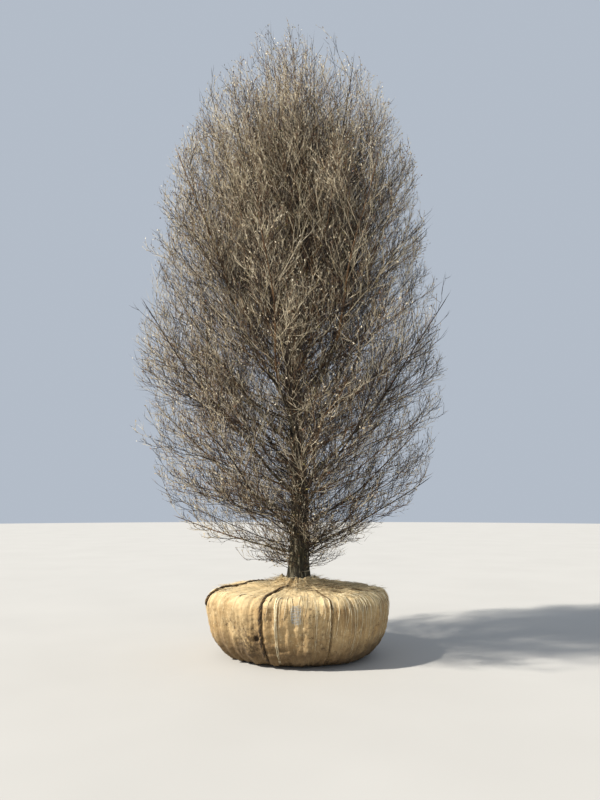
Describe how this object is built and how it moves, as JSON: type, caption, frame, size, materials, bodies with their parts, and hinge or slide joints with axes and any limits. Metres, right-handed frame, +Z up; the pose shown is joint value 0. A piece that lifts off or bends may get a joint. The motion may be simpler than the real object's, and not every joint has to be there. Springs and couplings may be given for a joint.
{
  "type": "balled and burlapped tree",
  "caption": "Upright oval broadleaf tree with ascending boughs and opening buds, on a burlap-wrapped, rope-lashed root ball that stands free on its flat underside.",
  "frame": {"origin": "centre of the root ball's flat underside, at ground level", "axes": "+Z up along the trunk, -Y towards the viewer of the picture, +X to the viewer's right"},
  "size_m": [3.696, 3.7617, 7.6002],
  "materials": {
    "burlap": "coarse woven, sunlit tan",
    "rope": "dark twisted fibre",
    "bark": "smooth grey-brown bark with light streaks",
    "shoots": "fine brown twigs with beige opening buds"
  },
  "bodies": {
    "root": {"bough_01": "bark", "bough_02": "bark", "bough_03": "bark", "bough_04": "bark", "bough_05": "bark", "bough_06": "bark", "bough_07": "bark", "bough_08": "bark", "bough_09": "bark", "bough_10": "bark", "bough_11": "bark", "bough_12": "bark", "bough_13": "bark", "bough_14": "bark", "bough_15": "bark", "bough_16": "bark", "bough_17": "bark", "bough_18": "bark", "bough_19": "bark", "bough_20": "bark", "bough_21": "bark", "bough_22": "bark", "bough_23": "bark", "bough_24": "bark", "burlap_collar": "burlap", "lashing_cord_front_right": "rope", "lashing_rope_back": "rope", "lashing_rope_front": "rope", "lashing_rope_left": "rope", "mass_01": "shoots", "mass_02": "shoots", "mass_03": "shoots", "mass_04": "shoots", "mass_05": "shoots", "mass_06": "shoots", "mass_07": "shoots", "mass_08": "shoots", "mass_09": "shoots", "mass_10": "shoots", "mass_11": "shoots", "mass_12": "shoots", "mass_13": "shoots", "mass_14": "shoots", "mass_15": "shoots", "mass_16": "shoots", "mass_17": "shoots", "mass_18": "shoots", "mass_19": "shoots", "mass_20": "shoots", "mass_21": "shoots", "mass_22": "shoots", "mass_23": "shoots", "mass_24": "shoots", "mass_leader": "shoots", "root_ball": "burlap", "trunk": "bark"}
  },
  "joints": []
}
